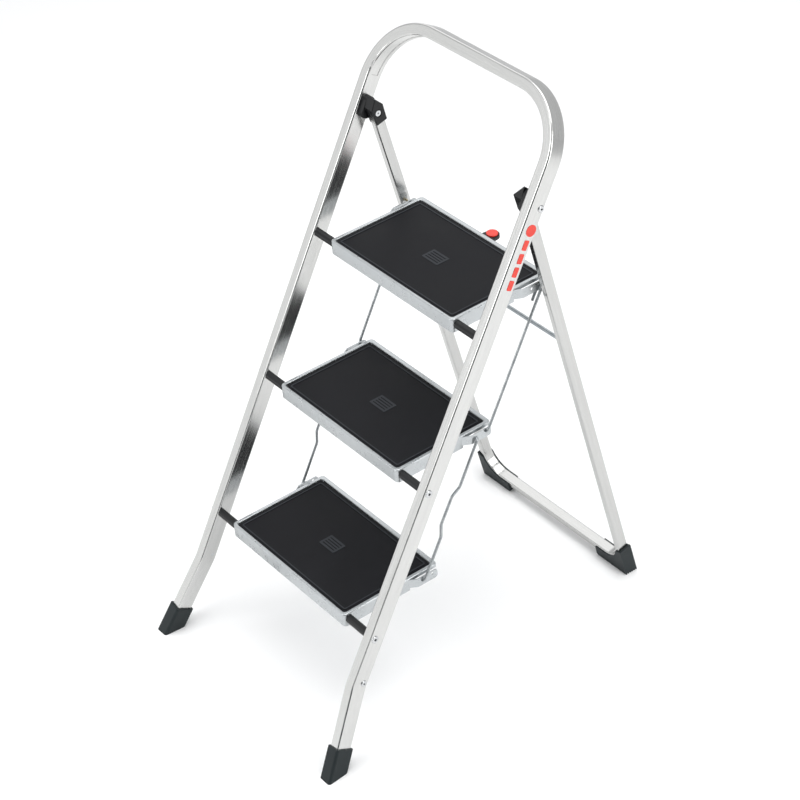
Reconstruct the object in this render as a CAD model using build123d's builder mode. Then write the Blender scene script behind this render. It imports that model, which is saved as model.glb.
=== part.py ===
"""Three-tread folding step stool.

Units are millimetres. +Z is up, +X is the user's right as they face away from
the stool's rear, and -Y is the side the user climbs from. The origin is on the
floor, in the middle of the footprint.
"""
from build123d import *
import math
import os

os.makedirs("parts", exist_ok=True)

# ---------------------------------------------------------------- dimensions
lean = 29.5              # front frame's lean from the vertical, degrees
rear_lean = 12.9         # rear frame's lean from the vertical, degrees

rim_top = 690.0          # top tread's rim above the floor
pitch = 230.0            # rise from tread to tread
face_y = 28.27           # stiles' front face, at the height of the top tread

frame_width = 457.2      # over the outsides of the stiles
stile_width = 20.0       # across the stool
stile_depth = 30.0       # front to back
stile_round = 3.2
tube_wall = 1.5
handle_top = 389.6       # up the stile, from the top tread's height
handle_bend_right = 96.0   # bend radii of the handle's centre line
handle_bend_left = 116.0
splay_start = -630.0     # where the stiles turn outward above the feet
splay_out = 27.3         # how far the foot's end lies outside the stile
foot_reach = -810.0
sole = 3.5               # rubber under the front tube's end
boot_top = -736.0        # the boots' tops, down the stile

tread_width = 320.6
tread_depth = 195.0
tread_wall = 25.0
tread_setback = -6.5     # tread's front edge from the stile's front face
sheet = 1.5
deck_drop = 5.5          # mat's bed below the rim
deck_under = 7.0         # underside of the deck below the rim
mat_thick = 3.0

axle_y = 10.0            # axle behind the tread's front edge
axle_z = -11.5           # axle below the rim
axle_r = 4.0
sleeve_r = 7.4
gap = 0.3

ear_low = 19.5           # ears' lower edge below the rim
ear_in = 167.1
ear_out = 168.7
eye = (167.0, 4.0)       # link hole in the ear's end, from the axle
eye_low = (146.5, 1.0)   # second link hole, from the axle
pin_at = (171.5, -3.5)   # rest pin, from the axle
wire_r = 2.5
wire_out = 172.6         # link wire's run outside the ears
wire_in = 163.4          # its turned-in ends, inside the ears

hinge_y = 154.72         # rear frame's hinge
hinge_z = 867.1
leg_x = 187.8            # centre line of the rear legs
leg_width = 13.0
leg_depth = 20.0
leg_wall = 1.3
leg_length = 868.3       # hinge to the bottom bar
leg_bend = 42.0
leg_top = 8.0
cap_in = 178.0
cap_out = 197.3
crossbar_r = 3.5
crossbar_at = 311.7      # down the leg from the hinge

sin_l = math.sin(math.radians(lean))
cos_l = math.cos(math.radians(lean))
sin_r = math.sin(math.radians(rear_lean))
cos_r = math.cos(math.radians(rear_lean))
stile_x = (frame_width - stile_width) / 2
stile_in = stile_x - stile_width / 2
stile_out = stile_x + stile_width / 2

# The front frame's middle plane: local x across, local y up the stile.
front_plane = Plane(
    origin=(0, face_y + cos_l * stile_depth / 2, rim_top - sin_l * stile_depth / 2),
    x_dir=(1, 0, 0),
    z_dir=(0, -cos_l, sin_l),
)
# The rear frame's middle plane, with its origin on the hinge.
rear_plane = Plane(
    origin=(0, hinge_y, hinge_z), x_dir=(1, 0, 0), z_dir=(0, -cos_r, -sin_r)
)


def on_stile(s, depth):
    """Y and Z of a point s up the stile and depth behind its front face."""
    y = face_y + s * sin_l + depth * cos_l
    z = rim_top + s * cos_l - depth * sin_l
    return y, z


def rim_height(level):
    """Height of a tread's rim: level 0 is the top tread."""
    return rim_top - level * pitch


def front_edge(level):
    """Y of a tread's front edge."""
    return face_y + tread_setback - level * pitch * math.tan(math.radians(lean))


def axle_point(level, off=(0.0, 0.0)):
    """Y and Z of a point given from the tread's axle."""
    y = front_edge(level) + axle_y + off[0]
    z = rim_height(level) + axle_z + off[1]
    return y, z


def save(piece, name):
    piece.part.label = name
    export_step(piece.part, "parts/" + name + ".step")


# ------------------------------------------------------------- bent tubes
def front_tube(hollow):
    """The inverted U that is stiles and handle, before the feet are cut level."""
    top = handle_top - stile_width / 2
    foot_x = stile_x + splay_out
    points = [
        (foot_x, foot_reach),
        (stile_x, splay_start),
        (stile_x, top),
        (-stile_x, top),
        (-stile_x, splay_start),
        (-foot_x, foot_reach),
    ]
    with BuildPart() as tube:
        with BuildLine(front_plane) as path:
            FilletPolyline(*points, radius=[60, handle_bend_right, handle_bend_left, 60])
        run = path.wires()[0]
        start = Plane(origin=run @ 0, x_dir=front_plane.z_dir, z_dir=run % 0)
        with BuildSketch(start):
            RectangleRounded(stile_depth, stile_width, stile_round)
            if hollow:
                RectangleRounded(
                    stile_depth - 2 * tube_wall,
                    stile_width - 2 * tube_wall,
                    stile_round - tube_wall,
                    mode=Mode.SUBTRACT,
                )
        sweep(path=run)
    return tube


def rear_tube(hollow):
    """The U of the rear legs and the bottom bar."""
    points = [
        (leg_x, leg_top),
        (leg_x, -leg_length),
        (-leg_x, -leg_length),
        (-leg_x, leg_top),
    ]
    with BuildPart() as tube:
        with BuildLine(rear_plane) as path:
            FilletPolyline(*points, radius=leg_bend)
        run = path.wires()[0]
        start = Plane(origin=run @ 0, x_dir=rear_plane.z_dir, z_dir=run % 0)
        with BuildSketch(start):
            RectangleRounded(leg_depth, leg_width, 2.5)
            if hollow:
                RectangleRounded(
                    leg_depth - 2 * leg_wall,
                    leg_width - 2 * leg_wall,
                    2.5 - leg_wall,
                    mode=Mode.SUBTRACT,
                )
        sweep(path=run)
    return tube


def bore(y, z, radius, x_from, x_to):
    """Cut a hole along X in the part being built."""
    with BuildSketch(Plane.YZ.offset(x_from)) as ring:
        with Locations((y, z)):
            Circle(radius)
    extrude(ring.sketch, amount=x_to - x_from, mode=Mode.SUBTRACT)


def rod(y, z, radius, x_from, x_to):
    """Add a round bar along X to the part being built."""
    with BuildSketch(Plane.YZ.offset(x_from)) as ring:
        with Locations((y, z)):
            Circle(radius)
    extrude(ring.sketch, amount=x_to - x_from)


front_solid = front_tube(False).part
rear_solid = rear_tube(False).part
leg_rivet = on_stile(-619.5, 20.4)

# ---------------------------------------------------------------- front frame
with BuildPart() as front_frame:
    add(front_tube(True).part)
    split(bisect_by=Plane.XY.offset(sole), keep=Keep.TOP)
    # pressed-in groove along the inner wall of each handle bend
    for side, bend in ((1, handle_bend_right), (-1, handle_bend_left)):
        inner_r = bend - stile_width / 2
        bend_x = stile_x - bend
        bend_s = handle_top - stile_width / 2 - bend
        with BuildLine(front_plane) as groove_path:
            if side > 0:
                CenterArc((bend_x, bend_s), inner_r, 4, 82)
            else:
                CenterArc((-bend_x, bend_s), inner_r, 94, 82)
        groove_run = groove_path.wires()[0]
        groove_start = Plane(
            origin=groove_run @ 0, x_dir=front_plane.z_dir, z_dir=groove_run % 0
        )
        with BuildSketch(groove_start):
            RectangleRounded(13, 1.8, 0.8)
        sweep(path=groove_run, mode=Mode.SUBTRACT)
    # holes for the axles, the hinge rivets and the leg rivets
    axle_0 = axle_point(0)
    bore(axle_0[0], axle_0[1], axle_r, -216, 216)
    for level in (1, 2):
        axle_k = axle_point(level)
        bore(axle_k[0], axle_k[1], axle_r, -240, 240)
    bore(hinge_y, hinge_z, axle_r, -240, 240)
    bore(leg_rivet[0], leg_rivet[1], 3.0, -240, 240)
save(front_frame, "front_frame")


# ----------------------------------------------------------------- front feet
def front_foot(side):
    """Black boot over the end of a stile, with a level sole."""
    share = (splay_start - boot_top) / (splay_start - foot_reach)
    low = Vector(side * (stile_x + splay_out), foot_reach)
    high = Vector(side * (stile_x + share * splay_out), boot_top)
    with BuildPart() as boot:
        with BuildLine(front_plane) as path:
            Line((low.X, low.Y), (high.X, high.Y))
        run = path.wires()[0]
        start = Plane(origin=run @ 0, x_dir=front_plane.z_dir, z_dir=run % 0)
        with BuildSketch(start):
            RectangleRounded(stile_depth + 7, stile_width + 7, 5.0)
        sweep(path=run)
        split(bisect_by=Plane.XY, keep=Keep.TOP)
        add(front_cut, mode=Mode.SUBTRACT)
    return boot


with BuildPart() as front_cut_block:
    add(front_solid)
    split(bisect_by=Plane.XY.offset(sole), keep=Keep.TOP)
front_cut = front_cut_block.part

for side, word in ((1, "right"), (-1, "left")):
    save(front_foot(side), "front_foot_" + word)

# -------------------------------------------------------------- tread axles
for level, word in ((0, "top"), (1, "mid"), (2, "low")):
    y, z = axle_point(level)
    end = 216.0 if level == 0 else stile_out
    with BuildPart() as axle:
        rod(y, z, axle_r, -end, end)
        if level > 0:
            bore(y, z, 2.3, end - 12, end + 1)
            bore(y, z, 2.3, -end - 1, -end + 12)
    save(axle, "axle_" + word)

# ribbed black spacers between treads and stiles
with BuildPart() as axle_sleeves:
    for level in (0, 1, 2):
        y, z = axle_point(level)
        for start in (tread_width / 2 + gap, -stile_in):
            with BuildSketch(Plane.YZ.offset(start)):
                with Locations((y, z)):
                    RegularPolygon(sleeve_r, 12)
                    Circle(axle_r, mode=Mode.SUBTRACT)
            extrude(amount=stile_in - tread_width / 2 - gap)
save(axle_sleeves, "axle_sleeves")

# domed rings that close the middle and bottom axles' ends
with BuildPart() as axle_rivets:
    for level in (1, 2):
        y, z = axle_point(level)
        for start, way in ((stile_out, 1), (-stile_out, -1)):
            with BuildSketch(Plane.YZ.offset(start)):
                with Locations((y, z)):
                    Circle(6.6)
                    Circle(2.3, mode=Mode.SUBTRACT)
            extrude(amount=way * 2.0)
    rims = axle_rivets.edges().filter_by(GeomType.CIRCLE)
    rims = rims.filter_by(lambda e: abs(e.radius - 6.6) < 0.01)
    rims = rims.filter_by(lambda e: abs(e.center().X) > stile_out + 1)
    fillet(rims, radius=1.5)
save(axle_rivets, "axle_rivets")

# rivets low on the stiles, just above the splayed feet
with BuildPart() as leg_rivets:
    y, z = leg_rivet
    for way in (1, -1):
        rod(y, z, 3.0, way * stile_in, way * stile_out)
        with BuildSketch(Plane.YZ.offset(way * stile_out)):
            with Locations((y, z)):
                Circle(5.5)
        extrude(amount=way * 1.8)
        bore(y, z, 1.6, way * (stile_out - 6), way * (stile_out + 3))
    rims = leg_rivets.edges().filter_by(GeomType.CIRCLE)
    rims = rims.filter_by(lambda e: abs(e.radius - 5.5) < 0.01)
    rims = rims.filter_by(lambda e: abs(e.center().X) > stile_out + 1)
    fillet(rims, radius=1.3)
save(leg_rivets, "leg_rivets")


# -------------------------------------------------------------- hinge bosses
def hinge_boss(side):
    """Black spacer on a stile's inner face, in line with the stile."""
    along = Plane(
        origin=(side * stile_in, hinge_y - 5, hinge_z + 4.5),
        x_dir=(0, sin_l, cos_l),
        z_dir=(-side, 0, 0),
    )
    with BuildPart() as boss:
        with BuildSketch(along):
            RectangleRounded(38, 21, 9)
        extrude(amount=stile_in - cap_out - gap)
        fillet(boss.faces().sort_by(Axis.X)[0 if side > 0 else -1].edges(), radius=2)
        bore(hinge_y, hinge_z, axle_r, side * 190, side * 215)
    return boss


for side, word in ((1, "right"), (-1, "left")):
    save(hinge_boss(side), "hinge_boss_" + word)

with BuildPart() as hinge_rivets:
    for way in (1, -1):
        rod(hinge_y, hinge_z, axle_r, way * 180.9, way * stile_out)
        rod(hinge_y, hinge_z, 5.2, way * 178.9, way * 180.9)
        with BuildSketch(Plane.YZ.offset(way * stile_out)):
            with Locations((hinge_y, hinge_z)):
                Circle(6.0)
        extrude(amount=way * 2.0)
        bore(hinge_y, hinge_z, 1.9, way * (stile_out - 8), way * (stile_out + 3))
        bore(hinge_y, hinge_z, 1.6, way * 178, way * 181)
    rims = hinge_rivets.edges().filter_by(GeomType.CIRCLE)
    rims = rims.filter_by(lambda e: abs(e.radius - 6.0) < 0.01)
    rims = rims.filter_by(lambda e: abs(e.center().X) > stile_out + 1)
    fillet(rims, radius=1.4)
save(hinge_rivets, "hinge_rivets")

# --------------------------------------------------- plain marks on the stile
dot_y, dot_z = 133.3, 837.3
with BuildPart() as side_dot:
    with BuildSketch(Plane.YZ.offset(stile_out)):
        with Locations((dot_y, dot_z)):
            Circle(10)
    extrude(amount=0.4)
save(side_dot, "side_dot")

with BuildPart() as side_bars:
    with BuildSketch(Plane.YZ.offset(stile_out)):
        for step in range(4):
            along = 14 + step * 22.5
            y = dot_y - 5.5 - along * sin_l
            z = dot_z - 9.0 - along * cos_l
            with Locations(Location((y, z), 90 - lean)):
                RectangleRounded(17, 10, 2)
    extrude(amount=0.4)
save(side_bars, "side_bars")

# ----------------------------------------------------------------- rear frame
cross_y = hinge_y + crossbar_at * sin_r
cross_z = hinge_z - crossbar_at * cos_r
pin_y, pin_z = axle_point(0, pin_at)

with BuildPart() as rear_frame:
    add(rear_tube(True).part)
    bore(hinge_y, hinge_z, axle_r + 0.1, -240, 240)
    bore(cross_y, cross_z, crossbar_r, -190, 190)
save(rear_frame, "rear_frame")


def hinge_cap(side):
    """Black end piece round the top of a rear leg, five-sided from the side."""
    outline = [(-5, 28), (10.5, 14), (17, -16.5), (-4.5, -22), (-12.8, 8.7)]
    corners = [(hinge_y + a, hinge_z + b) for a, b in outline]
    front_low = Vector(cap_in, hinge_y - 12.8, hinge_z + 8.7)
    rear_low = Vector(cap_in, hinge_y + 10.5, hinge_z + 14)
    peak = Vector(cap_out, hinge_y - 5, hinge_z + 28)
    roof = (peak - rear_low).cross(front_low - rear_low)
    with BuildPart() as cap:
        with BuildSketch(Plane.YZ.offset(side * cap_in)):
            with BuildLine():
                Polyline(*corners, close=True)
            make_face()
        extrude(amount=side * (cap_out - cap_in))
        fillet(cap.edges().filter_by(Axis.X), radius=2.0)
        chamfer(cap.faces().sort_by(Axis.X)[0 if side > 0 else -1].edges(), length=1.0)
        if side > 0:
            # this cap's roof falls toward its inner side
            split(bisect_by=Plane(origin=peak, z_dir=roof), keep=Keep.TOP)
        bore(hinge_y, hinge_z, axle_r + 0.1, side * 170, side * 200)
        bore(hinge_y, hinge_z, 6.8, side * 170, side * 181)
        add(rear_solid, mode=Mode.SUBTRACT)
    return cap


for side, word in ((1, "right"), (-1, "left")):
    save(hinge_cap(side), "hinge_cap_" + word)

with BuildPart() as rear_crossbar:
    rod(cross_y, cross_z, crossbar_r, -190, 190)
save(rear_crossbar, "rear_crossbar")

# small brackets on the legs' inner faces, under the top tread's rest pins
with BuildPart() as rest_hooks:
    for way in (1, -1):
        with BuildSketch(Plane.YZ.offset(way * (leg_x - leg_width / 2))):
            with Locations((pin_y, pin_z - 2 - gap - 4)):
                RectangleRounded(13, 8, 2)
        extrude(amount=-way * 4.8)
save(rest_hooks, "rest_hooks")


def rear_shoe(side):
    """Open cradle round a bottom bend, with a ribbed sole that stands level."""
    outline = [
        (199, -826), (199, -915), (150, -915), (121, -883), (122, -864.3),
        (145.8, -864.3), (160.3, -861.4), (172.7, -853.2), (180.9, -840.8), (183.8, -832),
    ]
    corners = [(side * a, b) for a, b in outline]
    with BuildPart() as shoe:
        with BuildSketch(rear_plane):
            with BuildLine():
                Polyline(*corners, close=True)
            make_face()
        extrude(amount=leg_depth / 2 + 2.5, both=True)
        fillet(shoe.edges().filter_by(Axis(origin=(0, 0, 0), direction=rear_plane.z_dir))
               .sort_by(Axis.X)[-2 if side > 0 else 0:][:1], radius=0.8)
        split(bisect_by=Plane.XY, keep=Keep.TOP)
        add(rear_solid, mode=Mode.SUBTRACT)
        sole_y = hinge_y + hinge_z * math.tan(math.radians(rear_lean))
        with BuildSketch(Plane.YZ):
            for step in range(5):
                with Locations((sole_y - 9 + step * 4.6, 0)):
                    Rectangle(2.2, 5.0)
        extrude(amount=side * 210, mode=Mode.SUBTRACT)
    return shoe


for side, word in ((1, "right"), (-1, "left")):
    save(rear_shoe(side), "rear_shoe_" + word)


# ---------------------------------------------------------------------- treads
catch_y = front_edge(0) + 162.0      # release tongue's pivot
catch_z = rim_top - 13.75


def tread_pan(level, eye_r, eye_low_r):
    """Sheet pan with a rolled rim, skirts on three sides and two ears."""
    y0 = front_edge(level)
    zt = rim_height(level)
    mid = y0 + tread_depth / 2
    step_out = y0 + (124.0 if level == 0 else 133.0)
    with BuildPart() as pan:
        with BuildSketch(Plane.XY.offset(zt - tread_wall)):
            with Locations((0, mid)):
                RectangleRounded(tread_width, tread_depth, 7)
        extrude(amount=tread_wall)
        fillet(pan.faces().sort_by(Axis.Z)[-1].edges(), radius=2.2)
        with BuildSketch(Plane.XY.offset(zt)):
            with Locations((0, mid - 1.5)):
                RectangleRounded(tread_width - 13, tread_depth - 14, 5)
        extrude(amount=-deck_drop, mode=Mode.SUBTRACT)
        inner = pan.faces().sort_by(Axis.Z)[-1].inner_wires()[0]
        fillet(inner.edges(), radius=1.5)
        with BuildSketch(Plane.XY.offset(zt - tread_wall - 1)):
            with Locations((0, mid)):
                RectangleRounded(tread_width - 2 * sheet, tread_depth - 2 * sheet, 5.5)
        extrude(amount=tread_wall + 1 - deck_under, mode=Mode.SUBTRACT)
        # the skirt stops short of the rear, where the ears take over
        with BuildSketch(Plane.XY.offset(zt - tread_wall - 1)):
            with Locations((0, step_out + 2 + 40)):
                Rectangle(tread_width + 20, 80)
        extrude(amount=tread_wall + 1 - deck_under, mode=Mode.SUBTRACT)
        with BuildSketch(Plane.XY.offset(zt - 12)):
            with Locations((0, y0 + tread_depth - sheet / 2)):
                Rectangle(tread_width - 14, sheet)
        extrude(amount=12 - deck_under + 0.5)
        # ears, set outward from the skirts
        ear = [
            (159.0, step_out), (160.3, step_out), (ear_out, step_out + 14.0),
            (ear_out, y0 + 188.0), (ear_in, y0 + 188.0), (ear_in, step_out + 14.6),
            (159.0, step_out + 1.0),
        ]
        for side in (1, -1):
            with BuildSketch(Plane.XY.offset(zt - ear_low)):
                with BuildLine():
                    Polyline(*[(side * a, b) for a, b in ear], close=True)
                make_face()
            extrude(amount=ear_low - 2.5)
        tips = pan.edges().filter_by(Axis.X)
        tips = tips.filter_by(lambda e: abs(e.center().X) > 165)
        tips = tips.filter_by(lambda e: e.center().Y > y0 + 187)
        fillet(tips, radius=6)
        y, z = axle_point(level)
        bore(y, z, axle_r + 0.1, -200, 200)
        y, z = axle_point(level, eye)
        bore(y, z, eye_r, 164, 172)
        bore(y, z, eye_r, -172, -164)
        y, z = axle_point(level, eye_low)
        bore(y, z, eye_low_r, 164, 172)
        bore(y, z, eye_low_r, -172, -164)
        if level == 0:
            # slot and lugs for the release tongue, holes for the rest pins
            with BuildSketch(Plane.XZ.offset(-y0 - tread_depth - 5)):
                with Locations((0, zt - deck_under - 10)):
                    Rectangle(32, 20)
            extrude(amount=12, mode=Mode.SUBTRACT)
            for side in (1, -1):
                with BuildSketch(Plane.YZ.offset(side * 15.6)):
                    with Locations((catch_y, zt - deck_under - 5.3 + 0.25)):
                        Rectangle(10, 11.1)
                extrude(amount=side * 2.0)
            bore(catch_y, catch_z, 2.1, -19, 19)
            bore(pin_y, pin_z, 2.0, 164, 172)
            bore(pin_y, pin_z, 2.0, -172, -164)
    return pan


def tread_mat(level):
    """Black rubber mat with a raised border line and a plain ribbed centre."""
    y0 = front_edge(level)
    zt = rim_height(level)
    mid = y0 + 95.7
    top = zt - deck_drop + mat_thick
    with BuildPart() as mat:
        with BuildSketch(Plane.XY.offset(zt - deck_drop)):
            with Locations((0, mid)):
                RectangleRounded(303.6, 179, 4)
        extrude(amount=mat_thick)
        with BuildSketch(Plane.XY.offset(top)):
            with Locations((0, mid)):
                RectangleRounded(294, 169.4, 3.5)
                RectangleRounded(289.6, 165, 2, mode=Mode.SUBTRACT)
        extrude(amount=1.0)
        with BuildSketch(Plane.XY.offset(top)):
            with Locations((0, mid)):
                RectangleRounded(40, 27, 2)
                with GridLocations(0, 5.4, 1, 4):
                    SlotOverall(32, 2.2, mode=Mode.SUBTRACT)
        extrude(amount=0.5)
    return mat


save(tread_pan(0, 2.6, 2.6), "tread_top")
save(tread_pan(1, 2.9, 2.6), "tread_mid")
save(tread_pan(2, 2.6, 2.9), "tread_low")
for level, word in ((0, "top"), (1, "mid"), (2, "low")):
    save(tread_mat(level), "mat_" + word)

with BuildPart() as rest_pins:
    for way in (1, -1):
        rod(pin_y, pin_z, 2.0, way * ear_in, way * 180.9)
save(rest_pins, "rest_pins")

# -------------------------------------------------------- release tongue
with BuildPart() as release_tongue:
    with BuildSketch(Plane.XY.offset(rim_top - 17)):
        with BuildLine():
            Polyline(
                (-14.5, catch_y), (14.5, catch_y), (14.5, catch_y + 38),
                (12.5, catch_y + 52.7), (-12.5, catch_y + 52.7), (-14.5, catch_y + 38),
                close=True,
            )
        make_face()
        with Locations((0, catch_y + 52.7)):
            Circle(12.5)
    extrude(amount=6.5)
    top_rim = release_tongue.faces().sort_by(Axis.Z)[-1].edges()
    top_rim = top_rim.filter_by(lambda e: e.center().Y > catch_y + 36)
    fillet(top_rim, radius=1.2)
    rod(catch_y, catch_z, 3.25, -14.5, 14.5)
    rod(catch_y, catch_z, 2.0, -18.6, 18.6)
save(release_tongue, "release_tongue")

with BuildPart() as release_button:
    with BuildSketch(Plane.XY.offset(rim_top - 10.5)):
        with Locations((0, catch_y + 52.7)):
            Circle(10.2)
    extrude(amount=2.5)
    fillet(release_button.faces().sort_by(Axis.Z)[-1].edges(), radius=0.8)
save(release_button, "release_button")


# ------------------------------------------------------------------ link wires
def along_link(side, x, point, down, forward=0.0):
    """A point measured down a link from its upper eye."""
    y = point[0] - down * sin_l - forward * cos_l
    z = point[1] - down * cos_l + forward * sin_l
    return (side * x, y, z)


def wire(points, radii):
    with BuildPart() as bent:
        with BuildLine() as path:
            FilletPolyline(*points, radius=radii)
        run = path.wires()[0]
        with BuildSketch(Plane(origin=run @ 0, z_dir=run % 0)):
            Circle(wire_r)
        sweep(path=run)
    return bent


def upper_link(side):
    """Straight wire from the top tread's ear to the middle one's, hooked on top."""
    a = axle_point(0, eye)
    reach = pitch / cos_l
    return wire(
        [
            along_link(side, wire_in, a, 34),
            along_link(side, wire_in, a, 0),
            along_link(side, wire_out, a, 0),
            along_link(side, wire_out, a, reach),
            along_link(side, wire_in, a, reach),
            along_link(side, wire_in, a, reach + 9),
        ],
        4.2,
    )


def lower_link(side):
    """Wire from the middle ear to the bottom one, cranked round the axle."""
    a = axle_point(1, eye_low)
    reach = pitch / cos_l
    return wire(
        [
            along_link(side, wire_in, a, 9),
            along_link(side, wire_in, a, 0),
            along_link(side, wire_out, a, 0),
            along_link(side, wire_out, a, 89),
            along_link(side, wire_out, a, 106, 9.6),
            along_link(side, wire_out, a, 158, 10.2),
            along_link(side, wire_out, a, 180, 0.1),
            along_link(side, wire_out, a, reach),
            along_link(side, wire_in, a, reach),
            along_link(side, wire_in, a, reach + 9),
        ],
        [4.2, 4.2, 12, 12, 12, 12, 4.2, 4.2],
    )


for side, word in ((1, "right"), (-1, "left")):
    save(upper_link(side), "upper_link_" + word)
    save(lower_link(side), "lower_link_" + word)
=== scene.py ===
"""Looks for the three-tread folding step stool. Metres, in the CAD model's frame."""
import math

import bpy
from mathutils import Matrix, Vector

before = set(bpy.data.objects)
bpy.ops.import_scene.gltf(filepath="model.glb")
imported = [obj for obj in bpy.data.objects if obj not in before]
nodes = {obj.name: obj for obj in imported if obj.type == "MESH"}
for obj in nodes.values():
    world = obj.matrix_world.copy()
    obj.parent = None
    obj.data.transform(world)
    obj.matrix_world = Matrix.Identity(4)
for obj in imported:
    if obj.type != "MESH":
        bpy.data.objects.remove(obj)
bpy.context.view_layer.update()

LEAN = math.radians(29.5)              # front frame, from the vertical
REAR_LEAN = math.radians(12.9)         # rear frame, from the vertical
FRONT_START = (0.02827, 0.690)         # y and z where the front tube's length is counted from
HINGE = (0.15472, 0.8671)              # y and z of the rear frame's hinge
FRONT_BEND = (0.1126, 0.2736)          # handle bends' centre, mean of the two: across, along
REAR_BEND = (0.1458, -0.8263)          # bottom bends' centre: across, along
RISE = 0.230                           # from tread to tread
CAMERA_PLACE = (2.5825, -1.7820, 2.7926)
LENS_MM = 106.09
PANEL_FACING = (0.66, -0.745, 0.09)    # where the surround's dark panel lies
PANEL_EDGES = (46, 26)                 # degrees from its centre: fully pale, fully dark


# ---------------------------------------------------------------- camera
def add_camera():
    """A long lens from the front and right, well above the stool."""
    azimuth = math.radians(55.06)
    height = math.radians(36.67)
    roll = math.radians(-5.09)
    look = Vector((
        -math.sin(azimuth) * math.cos(height),
        math.cos(azimuth) * math.cos(height),
        -math.sin(height),
    ))
    level = Vector((math.cos(azimuth), math.sin(azimuth), 0))
    rise = level.cross(look)
    right = level * math.cos(roll) + rise * math.sin(roll)
    up = rise * math.cos(roll) - level * math.sin(roll)
    data = bpy.data.cameras.new("camera")
    data.sensor_width = 36
    data.lens = LENS_MM
    data.clip_end = 60
    cam = bpy.data.objects.new("camera", data)
    rows = Matrix((right, up, -look)).transposed().to_4x4()
    cam.matrix_world = Matrix.Translation(CAMERA_PLACE) @ rows
    bpy.context.scene.collection.objects.link(cam)
    bpy.context.scene.camera = cam


# ------------------------------------------------------- node-tree helpers
class Tree:
    """Short calls for building one material's nodes."""

    def __init__(self, name):
        self.mat = bpy.data.materials.new(name)
        self.mat.use_nodes = True
        self.nodes = self.mat.node_tree.nodes
        self.links = self.mat.node_tree.links
        self.shader = self.nodes["Principled BSDF"]

    def put(self, socket, value):
        if isinstance(value, bpy.types.NodeSocket):
            self.links.new(value, socket)
        elif value is not None:
            socket.default_value = value

    def set(self, **values):
        for key, value in values.items():
            self.put(self.shader.inputs[key.replace("_", " ")], value)

    def math(self, kind, a, b=None, c=None, clamp=False):
        node = self.nodes.new("ShaderNodeMath")
        node.operation = kind
        node.use_clamp = clamp
        for socket, value in zip(node.inputs, (a, b, c)):
            self.put(socket, value)
        return node.outputs[0]

    def position(self):
        coords = self.nodes.new("ShaderNodeTexCoord").outputs["Object"]
        split = self.nodes.new("ShaderNodeSeparateXYZ")
        self.links.new(coords, split.inputs[0])
        return coords, split.outputs[0], split.outputs[1], split.outputs[2]

    def vector(self, x, y, z):
        node = self.nodes.new("ShaderNodeCombineXYZ")
        for socket, value in zip(node.inputs, (x, y, z)):
            self.put(socket, value)
        return node.outputs[0]

    def noise(self, vector, scale, detail=2.0, rough=0.5):
        node = self.nodes.new("ShaderNodeTexNoise")
        self.put(node.inputs["Vector"], vector)
        node.inputs["Scale"].default_value = scale
        node.inputs["Detail"].default_value = detail
        node.inputs["Roughness"].default_value = rough
        return node.outputs["Fac"]

    def ramp(self, factor, low, high, start=0.0, end=1.0):
        node = self.nodes.new("ShaderNodeMapRange")
        self.put(node.inputs["Value"], factor)
        node.inputs["From Min"].default_value = start
        node.inputs["From Max"].default_value = end
        node.inputs["To Min"].default_value = low
        node.inputs["To Max"].default_value = high
        return node.outputs["Result"]

    def mix(self, factor, a, b):
        node = self.nodes.new("ShaderNodeMix")
        node.data_type = "RGBA"
        self.put(node.inputs[0], factor)
        self.put(node.inputs[6], (*a, 1) if isinstance(a, tuple) else a)
        self.put(node.inputs[7], (*b, 1) if isinstance(b, tuple) else b)
        return node.outputs[2]

    def bump(self, height, strength, distance):
        node = self.nodes.new("ShaderNodeBump")
        node.inputs["Strength"].default_value = strength
        node.inputs["Distance"].default_value = distance
        self.put(node.inputs["Height"], height)
        self.put(self.shader.inputs["Normal"], node.outputs[0])


def tube_coordinates(t, lean, start, bend, below):
    """Across, along and depth of a point in a bent U tube, for brushing along it."""
    coords, x, y, z = t.position()
    bend_x, bend_s = bend
    dy = t.math("SUBTRACT", y, start[0])
    dz = t.math("SUBTRACT", z, start[1])
    s = t.math("ADD", t.math("MULTIPLY", dy, math.sin(lean)),
               t.math("MULTIPLY", dz, math.cos(lean)))
    depth = t.math("SUBTRACT", t.math("MULTIPLY", dy, math.cos(lean)),
                   t.math("MULTIPLY", dz, math.sin(lean)))
    wide = t.math("ABSOLUTE", x)
    over_x = t.math("MAXIMUM", t.math("SUBTRACT", wide, bend_x), 0.0)
    past = t.math("SUBTRACT", bend_s, s) if below else t.math("SUBTRACT", s, bend_s)
    over_s = t.math("MAXIMUM", past, 0.0)
    across = t.math("SQRT", t.math("ADD", t.math("MULTIPLY", over_x, over_x),
                                   t.math("MULTIPLY", over_s, over_s)))
    along = t.math("ADD", s, x)
    return coords, across, along, depth


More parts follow.
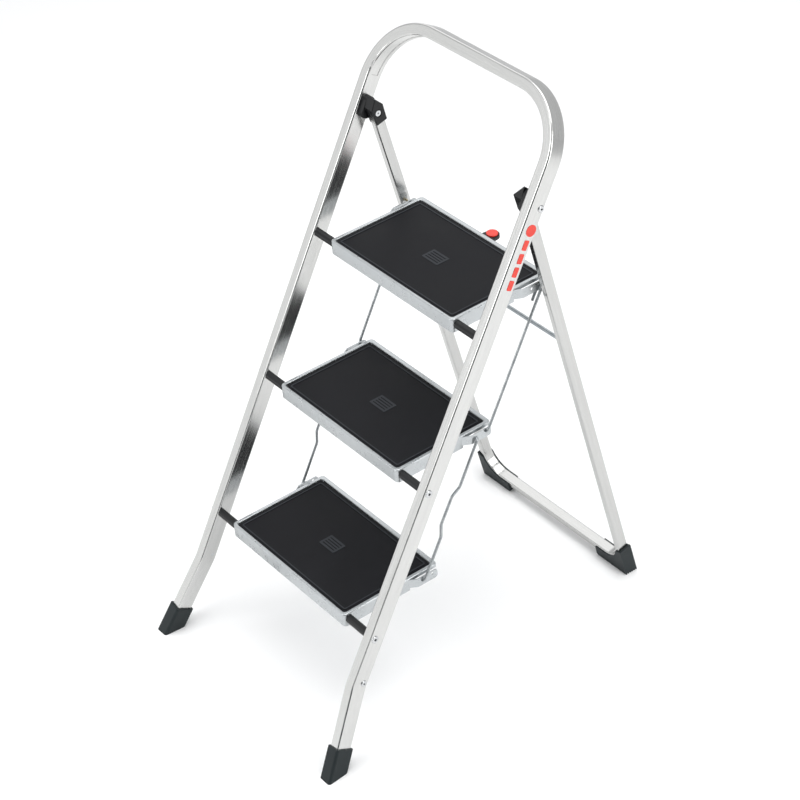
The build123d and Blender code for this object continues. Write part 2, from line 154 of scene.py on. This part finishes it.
def brushed_tube(name, lean, start, bend, below, tone_scale):
    """Bright aluminium tube, finely brushed along its length."""
    t = Tree(name)
    coords, across, along, depth = tube_coordinates(t, lean, start, bend, below)
    streak_at = t.vector(
        t.math("MULTIPLY", across, 1.0),
        t.math("MULTIPLY", along, 0.018),
        t.math("MULTIPLY", depth, 1.0),
    )
    fine = t.noise(streak_at, 2600.0, 2.0, 0.6)
    broad = t.noise(streak_at, 420.0, 2.0, 0.5)
    cloud = t.noise(coords, 9.0, 3.0, 0.55)
    tone = t.math("ADD", t.math("MULTIPLY", fine, 0.5), t.math("MULTIPLY", broad, 0.5))
    low = tuple(v * tone_scale for v in (0.80, 0.80, 0.79))
    high = tuple(v * tone_scale for v in (1.0, 1.0, 0.985))
    warm = tuple(v * tone_scale for v in (0.92, 0.92, 0.89))
    base = t.mix(t.ramp(tone, 0.0, 1.0, 0.3, 0.7), low, high)
    base = t.mix(t.ramp(cloud, 0.0, 0.35, 0.3, 0.75), base, warm)
    t.set(Base_Color=base, Metallic=1.0, Roughness=t.ramp(broad, 0.17, 0.27, 0.3, 0.7))
    t.bump(t.math("ADD", t.math("MULTIPLY", fine, 0.6), t.math("MULTIPLY", broad, 0.4)),
           0.25, 0.0001)
    return t.mat


def satin_sheet():
    """Silver tread pans: satin metal with a soft mottle."""
    t = Tree("satin_sheet")
    coords = t.position()[0]
    mottle = t.noise(coords, 55.0, 4.0, 0.6)
    grain = t.noise(coords, 900.0, 2.0, 0.6)
    base = t.mix(t.ramp(mottle, 0.0, 1.0, 0.3, 0.7), (0.43, 0.45, 0.46), (0.48, 0.50, 0.51))
    t.set(Base_Color=base, Metallic=0.9, Roughness=t.ramp(mottle, 0.24, 0.34, 0.3, 0.7))
    t.bump(grain, 0.05, 0.0001)
    return t.mat


def rubber_mat():
    """Charcoal mat with a fine pebble and slight wear marks."""
    t = Tree("rubber_mat")
    coords, _, _, z = t.position()
    pebble = t.noise(coords, 1500.0, 2.0, 0.6)
    wear = t.noise(coords, 14.0, 4.0, 0.6)
    dark = (0.0060, 0.0062, 0.0078)
    light = (0.0105, 0.0108, 0.0130)
    base = t.mix(t.ramp(wear, 0.0, 1.0, 0.35, 0.75), dark, light)
    # The border line and the ribbed centre stand up to 1 mm above each mat; their paler colour
    # is a painted highlight.
    above = t.math("FLOORED_MODULO", t.math("ADD", z, 0.0035), RISE)
    raised_highlight = t.math("COMPARE", above, 0.0018, 0.0004)
    # painted highlight: the raised band is given a paler colour
    base = t.mix(raised_highlight, base, (0.032, 0.035, 0.040))
    t.set(Base_Color=base, Specular_IOR_Level=0.12,
          Roughness=t.ramp(wear, 0.46, 0.60, 0.3, 0.7))
    t.bump(pebble, 0.3, 0.0002)
    return t.mat


def moulded(name, dark, light, rough, shine):
    """Moulded plastic with a fine spark-eroded grain."""
    t = Tree(name)
    coords = t.position()[0]
    grain = t.noise(coords, 1800.0, 2.0, 0.6)
    cloud = t.noise(coords, 60.0, 3.0, 0.5)
    t.set(Base_Color=t.mix(cloud, dark, light), Specular_IOR_Level=shine,
          Roughness=t.ramp(cloud, rough - 0.05, rough + 0.07))
    t.bump(grain, 0.2, 0.00015)
    return t.mat


def plated(name, dark, light, rough, streak=(1.0, 1.0, 1.0)):
    """Zinc-plated steel with faint drawn marks."""
    t = Tree(name)
    coords, x, y, z = t.position()
    at = t.vector(t.math("MULTIPLY", x, streak[0]), t.math("MULTIPLY", y, streak[1]),
                  t.math("MULTIPLY", z, streak[2]))
    marks = t.noise(at, 900.0, 3.0, 0.6)
    cloud = t.noise(coords, 70.0, 3.0, 0.5)
    t.set(Base_Color=t.mix(t.ramp(cloud, 0, 1, 0.3, 0.7), dark, light), Metallic=1.0,
          Roughness=t.ramp(marks, rough - 0.06, rough + 0.06, 0.3, 0.7))
    t.bump(marks, 0.15, 0.0001)
    return t.mat


def gloss_red():
    """Glossy red of the release button and the plain marks."""
    t = Tree("gloss_red")
    coords = t.position()[0]
    cloud = t.noise(coords, 120.0, 2.0, 0.5)
    t.set(Base_Color=t.mix(cloud, (0.62, 0.028, 0.016), (0.72, 0.045, 0.025)),
          Roughness=t.ramp(cloud, 0.28, 0.36))
    t.bump(t.noise(coords, 1500.0, 2.0, 0.5), 0.06, 0.0001)
    return t.mat


def paint(names, material):
    """Give the named nodes one material."""
    for name in names:
        mesh = nodes[name].data
        mesh.materials.clear()
        mesh.materials.append(material)


def add_materials():
    front_tube = brushed_tube("front_tube", LEAN, FRONT_START, FRONT_BEND, False, 0.645)
    rear_tube = brushed_tube("rear_tube", -REAR_LEAN, HINGE, REAR_BEND, True, 0.575)
    sheet = satin_sheet()
    mat = rubber_mat()
    grey = moulded("foot_plastic", (0.008, 0.0125, 0.014), (0.013, 0.019, 0.021), 0.5, 0.26)
    black = moulded("black_plastic", (0.0045, 0.0048, 0.0055), (0.0085, 0.009, 0.010), 0.36, 0.3)
    bar = plated("bar_steel", (0.33, 0.36, 0.38), (0.46, 0.49, 0.51), 0.30, (0.05, 1, 1))
    rivet = plated("rivet_steel", (0.45, 0.46, 0.47), (0.62, 0.63, 0.64), 0.26)
    wire = plated("wire_steel", (0.30, 0.32, 0.33), (0.42, 0.44, 0.45), 0.28)
    brass = plated("pin_brass", (0.60, 0.46, 0.18), (0.74, 0.58, 0.26), 0.3)
    red = gloss_red()
    paint(["front_frame"], front_tube)
    paint(["rear_frame"], rear_tube)
    paint(["tread_top", "tread_mid", "tread_low"], sheet)
    paint(["mat_top", "mat_mid", "mat_low"], mat)
    paint(["front_foot_left", "front_foot_right", "rear_shoe_left", "rear_shoe_right"], grey)
    paint(["axle_sleeves", "hinge_boss_left", "hinge_boss_right", "hinge_cap_left",
           "hinge_cap_right", "release_tongue"], black)
    paint(["axle_top", "axle_mid", "axle_low", "rear_crossbar"], bar)
    paint(["axle_rivets", "leg_rivets", "hinge_rivets", "rest_hooks"], rivet)
    paint(["upper_link_left", "upper_link_right", "lower_link_left", "lower_link_right"], wire)
    paint(["rest_pins"], brass)
    paint(["release_button", "side_dot", "side_bars"], red)


# ---------------------------------------------------------------- stage
def add_stage():
    """Pale floor, soft boxes and a pale surrounding."""
    bpy.ops.mesh.primitive_plane_add(size=60, location=(0, 0, 0))
    floor = bpy.context.object
    floor.name = "floor"
    t = Tree("floor_paint")
    coords = t.position()[0]
    t.set(Base_Color=t.mix(t.noise(coords, 3.0), (0.93, 0.93, 0.93), (0.95, 0.95, 0.95)),
          Roughness=0.75)
    floor.data.materials.append(t.mat)

    def soft_box(name, place, target, size, power, tint=(1, 1, 1)):
        data = bpy.data.lights.new(name, "AREA")
        data.shape = "RECTANGLE"
        data.size, data.size_y = size
        data.energy = power
        data.color = tint
        lamp = bpy.data.objects.new(name, data)
        lamp.location = place
        aim = Vector(target) - Vector(place)
        lamp.rotation_euler = aim.to_track_quat("-Z", "Y").to_euler()
        bpy.context.scene.collection.objects.link(lamp)

    soft_box("overhead", (0.2, 0.3, 3.4), (0, 0, 0.4), (2.6, 2.6), 55)
    soft_box("right_side", (3.0, 0.6, 1.6), (0, 0, 0.5), (1.6, 2.4), 48)
    soft_box("front_side", (-0.7, -3.0, 2.1), (0, 0, 0.5), (2.0, 2.0), 40)
    soft_box("back_card", (-2.7, 1.3, 3.2), (0, 0, 0.5), (2.4, 2.4), 17)
    soft_box("left_card", (-2.5, -2.85, 1.0), (0, 0, 0.7), (2.6, 2.2), 8.0)

    # pale surround with one soft dark panel, which draws the lines along the tubes' edges
    world = bpy.data.worlds.new("surround")
    world.use_nodes = True
    nodes_of = world.node_tree.nodes
    links_of = world.node_tree.links
    facing = nodes_of.new("ShaderNodeVectorMath")
    facing.operation = "DOT_PRODUCT"
    facing.inputs[1].default_value = Vector(PANEL_FACING).normalized()
    links_of.new(nodes_of.new("ShaderNodeTexCoord").outputs["Generated"], facing.inputs[0])
    panel = nodes_of.new("ShaderNodeMapRange")
    panel.interpolation_type = "SMOOTHSTEP"
    panel.inputs["From Min"].default_value = math.cos(math.radians(PANEL_EDGES[0]))
    panel.inputs["From Max"].default_value = math.cos(math.radians(PANEL_EDGES[1]))
    links_of.new(facing.outputs["Value"], panel.inputs["Value"])
    shade = nodes_of.new("ShaderNodeMix")
    shade.data_type = "RGBA"
    shade.inputs[6].default_value = (0.93, 0.94, 0.95, 1)
    shade.inputs[7].default_value = (0.02, 0.035, 0.04, 1)
    links_of.new(panel.outputs["Result"], shade.inputs[0])
    background = nodes_of["Background"]
    links_of.new(shade.outputs[2], background.inputs["Color"])
    background.inputs["Strength"].default_value = 0.75
    bpy.context.scene.world = world
    bpy.context.scene.view_settings.view_transform = "Standard"


add_camera()
add_materials()
add_stage()
